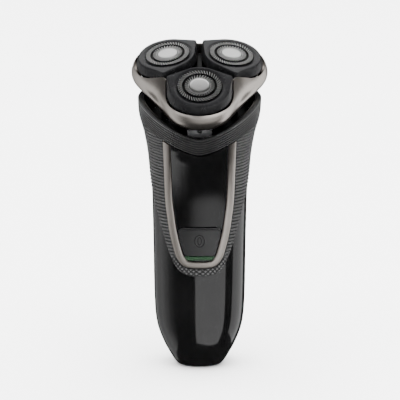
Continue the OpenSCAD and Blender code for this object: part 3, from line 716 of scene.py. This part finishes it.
def lobe_reach(q, turn):
    """Distance from the head's centre to the rounded triangle of lobe radius q, by radians from a lobe."""
    turn = np.abs(turn)
    tangent = np.arctan2(q * math.sin(math.pi / 3), POD_RADIUS + q / 2)
    arc = POD_RADIUS * np.cos(turn) + np.sqrt(np.maximum(0, q**2 - (POD_RADIUS * np.sin(turn)) ** 2))
    line = (POD_RADIUS / 2 + q) / np.cos(math.pi / 3 - turn)
    return np.where(turn < tangent, arc, line)


def lobe_radius(reach, turn):
    """The lobe radius q whose rounded triangle passes at that distance: lobe_reach backwards."""
    turn = np.abs(turn)
    x = reach * np.cos(turn) - POD_RADIUS
    y = reach * np.sin(turn)
    beyond = np.arctan2(y, x) > math.pi / 3
    return np.where(beyond, reach * np.cos(math.pi / 3 - turn) - POD_RADIUS / 2, np.hypot(x, y))


def from_lobe(turn):
    """Angle from the nearest lobe, for an angle about the head's axis, both in radians."""
    third = 2 * math.pi / 3
    return (turn + math.pi / 2 + third / 2) % third - third / 2


def pod_outline(q, gap=SEAM, corner_r=1.0, inner=INNER_Q):
    """Half of a pod's outline about its own axis: an outer arc, a softened corner and an inner arc."""
    corner = np.array([-POD_RADIUS + NOTCH_R / 2 + gap * 0.866, NOTCH_R * 0.866 - gap / 2])
    inner = min(q, inner)
    facing = math.atan2(corner[1], corner[0])
    dist = float(np.linalg.norm(corner))
    outer_turn = facing - math.acos(q / dist)
    inner_turn = facing + math.acos(inner / dist)

    def on_circle(radius, w):
        """Point about the pod's axis at a radius and an angle."""
        return radius * np.array([math.cos(w), math.sin(w)])

    def flank(side, shares):
        """Points of the straight line from the corner to a side's tangent, outside the softening."""
        reach = np.linalg.norm(side - corner)
        return [corner + (side - corner) * f for f in shares if reach * f > corner_r]

    a = on_circle(q, outer_turn)
    b = on_circle(inner, inner_turn)
    start = corner + (a - corner) / np.linalg.norm(a - corner) * corner_r
    end = corner + (b - corner) / np.linalg.norm(b - corner) * corner_r
    pts = [on_circle(q, w) for w in np.linspace(0, outer_turn, 72)]
    pts += flank(a, np.linspace(1, 0, 14)[1:-1])
    for f in np.linspace(0, 1, 9):
        pts.append((1 - f) ** 2 * start + 2 * f * (1 - f) * corner + f**2 * end)
    pts += flank(b, np.linspace(0, 1, 20)[1:-1])
    pts += [on_circle(inner, w) for w in np.linspace(inner_turn, math.pi, 24)]
    return np.array(pts)


def full_outline(q, **kw):
    """A pod's whole outline, with the angle of each point about the pod's axis."""
    half = pod_outline(q, **kw)
    ring = np.concatenate([half, half[1:-1][::-1] * [1, -1]])
    return ring, np.unwrap(np.arctan2(ring[:, 1], ring[:, 0]))


# ------------------------------------------------------------------ head pieces
# [height, lobe radius] up the rim's side, in the head's coordinates
DOME = np.array([
    [-15.3, 13.4], [-14.3, 15.2], [-12.4, 16.4], [-10.5, 16.8], [-8.5, 16.5], [-6.3, 15.7],
    [-3.2, 13.6], [0.9, 10.4],
])
POCKET_Q = 15.75  # the pods' pockets in the rim
PLATE_Q = 15.5  # the pods' plates before their bevel
SADDLE_DROP, SADDLE_DENT = 2.3, 1.1
RIM_SILL, RIM_LOW = -8.9, -15.2


def pocket_reach(turn):
    """Distance from the head's axis to the edge of the pod pockets."""
    ring, _ = full_outline(POCKET_Q, gap=SEAM - 0.25, corner_r=1.2)
    ring = ring * [math.cos(POD_TILT), 1] + [POD_RADIUS, 0]
    sides = list(zip(ring, np.roll(ring, -1, axis=0)))
    bins = np.linspace(-math.pi / 3, math.pi / 3, 241)
    best = np.full_like(bins, NOTCH_R)
    for i, w in enumerate(bins):
        ray = (math.cos(w), math.sin(w))
        crossings = []
        for p, n in sides:
            e = n - p
            den = ray[0] * e[1] - ray[1] * e[0]
            if abs(den) < 1e-9:
                continue
            r = (p[0] * e[1] - p[1] * e[0]) / den
            m = (p[0] * ray[1] - p[1] * ray[0]) / den
            if -1e-6 <= m <= 1 + 1e-6 and r > 0:
                crossings.append(r)
        if crossings:
            best[i] = max(crossings)
    return np.interp(from_lobe(turn), bins, best)


def bezel():
    """Satin metal rim of the head: a rounded three-lobed band that rises between the pods."""
    turn = np.radians(np.arange(0, 360, 1.0))
    lobe = from_lobe(turn)
    edge_r = pocket_reach(turn)
    path = along(DOME, np.linspace(0, 1, 400))
    qs, hs = path[:, 1], path[:, 0]
    peak = int(np.argmax(qs))
    # Each column climbs the dome as far as its own pocket's edge
    end = np.interp(-lobe_radius(edge_r, lobe), -qs[peak:], np.arange(peak, len(qs)))
    near_notch = np.clip((np.abs(lobe) - math.radians(30)) / math.radians(28), 0, 1)
    near_notch = near_notch**2 * (3 - 2 * near_notch)
    rings = []
    for share in np.arange(61) / 60:
        f = share * end
        q = np.interp(f, np.arange(len(qs)), qs)
        h = np.interp(f, np.arange(len(hs)), hs)
        rise = np.clip((f - peak * 0.8) / (end - peak * 0.8), 0, 1)
        dent = np.exp(-((rise - 0.45) / 0.3) ** 2)
        top_h = h - SADDLE_DROP * near_notch * rise**1.2
        rings.append(ring_at(lobe_reach(q, lobe) - SADDLE_DENT * near_notch * dent, turn, top_h))
    for inset, drop in ((0.12, 0.03), (0.22, 0.12), (0.28, 0.3)):
        rings.append(ring_at(edge_r - inset, turn, top_h - drop))
    rings.append(ring_at(edge_r - 0.28, turn, RIM_SILL))
    bore = lobe_reach(np.full_like(turn, 12.4), lobe)
    rings.append(ring_at(np.maximum(bore, edge_r - 3), turn, RIM_SILL - 0.4))
    rings.append(ring_at(bore, turn, RIM_LOW))
    obj = loft_object("bezel_rim", in_head(rings), closed_rows=True, sharp_deg=55)
    recalc_outside(obj)
    finish_piece(obj, "lid", NICKEL, "satin_nickel", "head_bezel")


def pod_plate(k):
    """Black plate round one cutter, with a soft bevel down to the rim."""
    outside = ((14.95, -4.65), (15.2, -4.5), (15.2, -4.0), (14.75, -2.6), (14.2, -1.3), (13.9, -0.72),
               (13.7, -0.50), (13.5, -0.41), (12.6, -0.38))
    seat = CAP_R + 0.15
    well = ((12.0, -0.36), (11.5, -0.40), (11.2, -0.62), (11.0, -0.66), (CAP_R + 0.2, -0.66),
            (seat, -0.9), (seat, -4.6))
    _, angle = full_outline(PLATE_Q)
    rings = [ring_at(outline_reach(q, angle), angle, z) for q, z in outside]
    rings += [ring_at(r, angle, z) for r, z in well]
    obj = loft_object("pod_plate_%d" % k, in_pod(rings, k), closed_rows=True, sharp_deg=45)
    recalc_outside(obj)
    finish_piece(obj, "pod_%d" % k, POD, "satin_black", "pod_shell_%d" % k)


def outline_reach(q, angle):
    """Reach of the outline of radius q at the given angles about the pod's axis."""
    shrink = max(0, PLATE_Q - q)
    ring, own = full_outline(q, gap=SEAM + shrink * 0.35, inner=INNER_Q - shrink * 0.35)
    own = np.concatenate([own - 2 * math.pi, own, own + 2 * math.pi])
    reach = np.tile(np.hypot(ring[:, 0], ring[:, 1]), 3)
    order = np.argsort(own)
    return np.interp(angle, own[order], reach[order])


def turned(name, profile, k):
    """Solid of revolution about a pod's axis from (radius, height) points."""
    rings = [ring_at(r, full_turn(180), z) for r, z in profile]
    return recalc_outside(loft_object(name, in_pod(rings, k), closed_rows=True, sharp_deg=40))


def bars(name, k, count, r0, r1, z0, z1, width, slant=0.0):
    """Ring of thin bars between two radii, leaning by slant degrees, each with a chamfered top."""
    section = ((-0.5, z0), (-0.5, z1 - 0.05), (-0.3, z1), (0.3, z1), (0.5, z1 - 0.05), (0.5, z0))
    n = len(section)
    lean = math.radians(slant)
    points, faces = [], []
    for i in range(count):
        w = 2 * math.pi * i / count
        base = len(points)
        for r, turn in ((r0, w - lean / 2), (r1, w + lean / 2)):
            u = np.array([math.cos(turn), math.sin(turn)])
            v = np.array([-u[1], u[0]])
            points += [(*(r * u + v * side * width), z) for side, z in section]
        for j in range(n):
            faces.append([base + j, base + (j + 1) % n, base + n + (j + 1) % n, base + n + j])
        faces.append([base + j for j in range(n)][::-1])
        faces.append([base + n + j for j in range(n)])
    return recalc_outside(mesh_object(name, in_pod(points, k), faces, smooth=False))


def cap(k):
    """Slotted cutter cap: a dark steel dish, whose floor between the bars is painted shade in the slots,
    two rings of bars and the rims that carry them.
    """
    body = "pod_%d" % k
    # Painted shade: the dish's dark top sits between the bars and fills the slots.
    dish = turned("cap_dish_%d" % k, [
        (CAP_R - 0.5, -5.3), (CAP_R + 1, -5.3), (CAP_R + 1, -4.7), (CAP_R, -4.7), (CAP_R, -0.68),
        (CAP_R - 0.15, -0.62), (7.9, -0.62), (7.7, -0.65), (7.3, -0.65), (7.1, -0.60), (5.3, -0.60),
        (5.1, -0.3), (0.4, -0.3), (0.4, -0.7), (9.6, -0.7), (CAP_R - 0.5, -1.2)], k)
    finish_piece(dish, body, DARK_STEEL_AND_SLOT_SHADE, "cutter_steel", "foil_cap_%d" % k)
    rims = ((10.25, 0.15, 0.0, DARK_STEEL_AND_SLOT_SHADE), (7.95, 0.13, 0.0, DARK_STEEL_AND_SLOT_SHADE),
            (6.95, 0.13, 0.09, DARK_STEEL_AND_SLOT_SHADE), (5.05, 0.14, 0.09, STEEL))
    for n, (r, w, top, metal_look) in enumerate(rims):
        rim = turned("cap_rim_%d_%d" % (k, n), [
            (r - w, -0.66), (r - w, top - 0.06), (r - w * 0.5, top),
            (r + w * 0.5, top), (r + w, top - 0.06), (r + w, -0.66)], k)
        finish_piece(rim, body, metal_look, "cutter_steel")
    outer = bars("cap_bars_outer_%d" % k, k, 46, 8.05, 10.15, -0.66, -0.03, 0.38, slant=8)
    inner = bars("cap_bars_inner_%d" % k, k, 32, 5.05, 6.9, -0.64, 0.08, 0.36, slant=-6)
    for slotted in (outer, inner):
        finish_piece(slotted, body, STEEL, "cutter_steel")
    disc = turned("cap_badge_%d" % k, [
        (0.02, -0.2), (4.6, -0.2), (4.6, 0.05), (4.52, 0.22), (4.3, 0.32), (3.6, 0.36), (2.0, 0.40),
        (0.02, 0.42)], k)
    finish_piece(disc, body, DISC, "disc_metal", "cap_disc_%d" % k)


def release():
    """Release button under the rim's front: square above, rounded below, with an upright glossy face."""
    half_w, top_h, low_h, corner_r = 5.8, -16.9, -20.8, 1.5
    half_h = (top_h - low_h) / 2
    front, deep = -30.0, -28.6
    low = [(half_w - corner_r + corner_r * math.cos(w), low_h + corner_r - corner_r * math.sin(w))
           for w in np.radians(np.linspace(90, 0, 12))]
    side = [(half_w, h) for h in np.linspace(low_h + corner_r, top_h - 0.3, 8)[1:]]
    top = [(x, top_h) for x in np.linspace(half_w - 0.3, 0, 8)]
    half = np.array(low + side + top)
    outline = np.concatenate([half, (half[:-1] * [-1, 1])[::-1]])
    centre = np.array([0, low_h + half_h])
    rings = [np.insert(outline, 1, deep + 1.35, axis=1)]
    for shrink, sink in ((0.0, 0.30), (0.12, 0.10), (0.35, 0.02), (0.7, 0.0)):
        edge = centre + (outline - centre) * [1 - shrink / half_w, 1 - shrink / half_h]
        lean = 1.35 * (edge[:, 1] - low_h) / (top_h - low_h)
        face = front + lean + 0.5 * (edge[:, 0] / half_w) ** 2
        rings.append(np.insert(edge, 1, np.minimum(face + sink, deep - 0.02), axis=1))
    obj = loft_object("release_cap", in_head(rings), sharp_deg=45)
    recalc_outside(obj)
    ends = in_head([(0, -29.0, -17.7), (0, -27.6, -17.7)])
    post = cylinder_between("release_post", *ends, 1.25)
    # The release cap's material carries painted light.
    finish_piece(obj, "release_button", RELEASE_PAINTED_LIGHT, "satin_black", "release_button")
    finish_piece(post, "release_button", SATIN, "satin_black")


# ------------------------------------------------------------------ carried-over CAD nodes
def dress_cad_nodes():
    """Materials for the CAD nodes that stay as they are."""
    looks = (
        (DEEP, "top_deck neck_seal hair_chamber gear_cover cutter_carrier lid_latch"),
        (SATIN, "charge_inlet motor_endcap"),
        (STEEL, "gimbal_ring hinge_pin case_screws power_switch battery_tabs drive_shaft motor_can "
                "cutter_blade_1 cutter_blade_2 cutter_blade_3"),
        (WHITE, "chassis motor_bracket centre_gear cutter_gear_1 cutter_gear_2 cutter_gear_3"),
        (BRASS, "contact_pins"), (COPPER, "armature"), (BOARD, "circuit_board"), (WRAP, "battery_cell"),
        (DARK_STEEL_AND_SLOT_SHADE, "motor_magnets"), (CLEAR, "status_led"), (LEADS, "motor_leads"),
    )
    for material, names in looks:
        for name in names.split():
            obj = frame["nodes"][name]
            obj.data.materials.clear()
            obj.data.materials.append(material)


# ------------------------------------------------------------------ stage, lights and camera
def floor():
    """Plain pale floor, a wide disc that curves up all round, well outside every camera."""
    section = ((0.001, 0), (0.4, 0), (1.2, 0), (2.6, 0), (3.0, 0.04), (3.4, 0.22), (3.7, 0.7), (3.8, 1.8))
    grid = np.array([ring_at(r, full_turn(96), z) for r, z in section]) / MM - [0, 0, 0.05]
    faces = grid_faces(*grid.shape[:2], closed_cols=True)
    obj = mesh_object("floor", grid.reshape(-1, 3), faces, sharp_deg=None)
    mat, nodes, links, shader = new_material("floor_white", Roughness=0.85)
    colour_between(nodes, links, noise_node(nodes, links, 8.0), *greys(0.90, 0.92), shader)
    obj.data.materials.append(mat)
    obj.visible_glossy = False  # the photo's gloss shows black where the floor would be mirrored


def area_light(name, place, target, size, power):
    """Rectangular light in metres and watts, out of the camera's sight."""
    data = bpy.data.lights.new(name, "AREA")
    data.shape = "RECTANGLE"
    data.size, data.size_y = size
    data.energy = power
    obj = bpy.data.objects.new(name, data)
    obj.location = place
    obj.rotation_euler = (Vector(target) - Vector(place)).to_track_quat("-Z", "Y").to_euler()
    obj.visible_camera = False
    bpy.context.collection.objects.link(obj)
    return obj


def soft_box(name, turns, distance, heights, radiance):
    """Upright light between two angles in degrees from the front (towards +X) and two heights."""
    middle = math.radians((turns[0] + turns[1]) / 2)
    width = 2 * distance * math.tan(math.radians(turns[1] - turns[0]) / 2)
    tall = heights[1] - heights[0]
    out = (distance * math.sin(middle), -distance * math.cos(middle))
    height = (heights[0] + heights[1]) / 2
    power = math.pi * width * tall * radiance
    return area_light(name, (*out, height), (0, 0, height), (width, tall), power)


def soften(light, across, upwards=None):
    """Varies a soft box's strength over its width, and its height, by (share, strength) stops."""
    light.data.use_nodes = True
    nodes, links = light.data.node_tree.nodes, light.data.node_tree.links
    split = nodes.new("ShaderNodeSeparateXYZ")
    links.new(nodes.new("ShaderNodeNewGeometry").outputs["Parametric"], split.inputs[0])
    product = nodes.new("ShaderNodeMath")
    product.operation = "MULTIPLY"
    for n, (axis, stops) in enumerate((("X", across), ("Y", upwards or ((0, 1), (1, 1))))):
        ramp = nodes.new("ShaderNodeValToRGB")
        ramp.color_ramp.interpolation = "EASE"
        elements = ramp.color_ramp.elements
        for m, (share, value) in enumerate(stops):
            stop = elements[m] if m < 2 else elements.new(share)
            stop.position = share
            stop.color = (value, value, value, 1)
        links.new(split.outputs[axis], ramp.inputs["Fac"])
        links.new(ramp.outputs["Color"], product.inputs[n])
    links.new(product.outputs["Value"], nodes["Emission"].inputs["Strength"])


def only_on(light, *names):
    """Limits a light to the pieces named."""
    group = bpy.data.collections.new(light.name + "_pieces")
    for name in names:
        group.objects.link(bpy.data.objects[name])
    light.light_linking.receiver_collection = group


def lights():
    """Soft boxes by turns and heights: some light the whole object, some only the pieces named."""
    world = bpy.data.worlds.new("studio")
    world.use_nodes = True
    sky = world.node_tree.nodes["Background"]
    sky.inputs["Color"].default_value = (1, 1, 1, 1)
    sky.inputs["Strength"].default_value = 0.05
    bpy.context.scene.world = world
    # Upright faces reflect what lies below the horizon, so the boxes reach under the floor
    soft_box("right_strip", (80, 138), 0.8, (-0.6, 0.25), 1.5)
    left = soft_box("left_strip", (-150, -52), 0.8, (-1.0, 0.25), 1.0)
    soften(left, ((0, 0.5), (1, 0), (0.33, 0.62), (0.5, 1.0), (0.66, 0.72), (0.82, 0.26)))
    body = soft_box("body_panel", (-5, 54), 0.5, (-0.62, -0.02), 1.9)
    only_on(body, "housing_front", "housing_rear", "base_cover")
    glow = soft_box("panel_glow", (-22, 45), 0.8, (-0.30, 0.0), 1.4)
    soften(glow, ((0, 0), (1, 0.9), (0.12, 0.1), (0.22, 0.35), (0.31, 0.7), (0.4, 0.92), (0.5, 1)),
           ((0, 0), (1, 1), (0.05, 0), (0.42, 1)))
    only_on(glow, "panel_gloss", "button_cap")
    side = soft_box("panel_side", (-90, -12), 0.8, (-1.3, -0.15), 1.5)
    soften(side, ((0, 1), (1, 0), (0.5, 1), (0.62, 0.87), (0.725, 0.54), (0.83, 0.17)),
           ((0, 1), (1, 0), (0.72, 1), (0.88, 0.5)))
    only_on(side, "panel_gloss")
    front = soft_box("front_soft", (-30, 60), 0.9, (-0.40, 0.08), 0.8)
    only_on(front, "trim_metal", "grip_scales", "bezel_rim", "collar_ribs", "release_cap",
            "pod_plate_1", "pod_plate_2", "pod_plate_3")
    soft_box("head_left", (-75, -20), 0.9, (0.05, 0.45), 1.3)
    soft_box("head_right", (12, 80), 0.9, (0.02, 0.50), 2.4)
    area_light("top_back", (0.0, 0.55, 0.90), (0, 0, 0.14), (1.1, 0.7), 4.5)
    wash = area_light("floor_wash", (0.0, 0.0, 2.6), (0, 0, 0), (4.0, 4.0), 730)
    wash.visible_glossy = False


def camera():
    """At the photograph's angle: in front of the object and a little above it."""
    elevation = math.radians(15)
    aim = Vector((0.0002, 0, 0.0785))
    distance = 2.0
    data = bpy.data.cameras.new("camera")
    data.sensor_width = 36
    data.lens = 386
    obj = bpy.data.objects.new("camera", data)
    direction = Vector((0, -math.cos(elevation), math.sin(elevation)))
    obj.location = aim + direction * distance
    obj.rotation_euler = (-direction).to_track_quat("-Z", "Y").to_euler()
    bpy.context.collection.objects.link(obj)
    bpy.context.scene.camera = obj


camera()
handle_shells()
screw_seats()
base_cap()
collar()
trim()
grip()
front_panel()
charge_window()
button()
bezel()
for number in (1, 2, 3):
    pod_plate(number)
    cap(number)
release()
dress_cad_nodes()
floor()
lights()
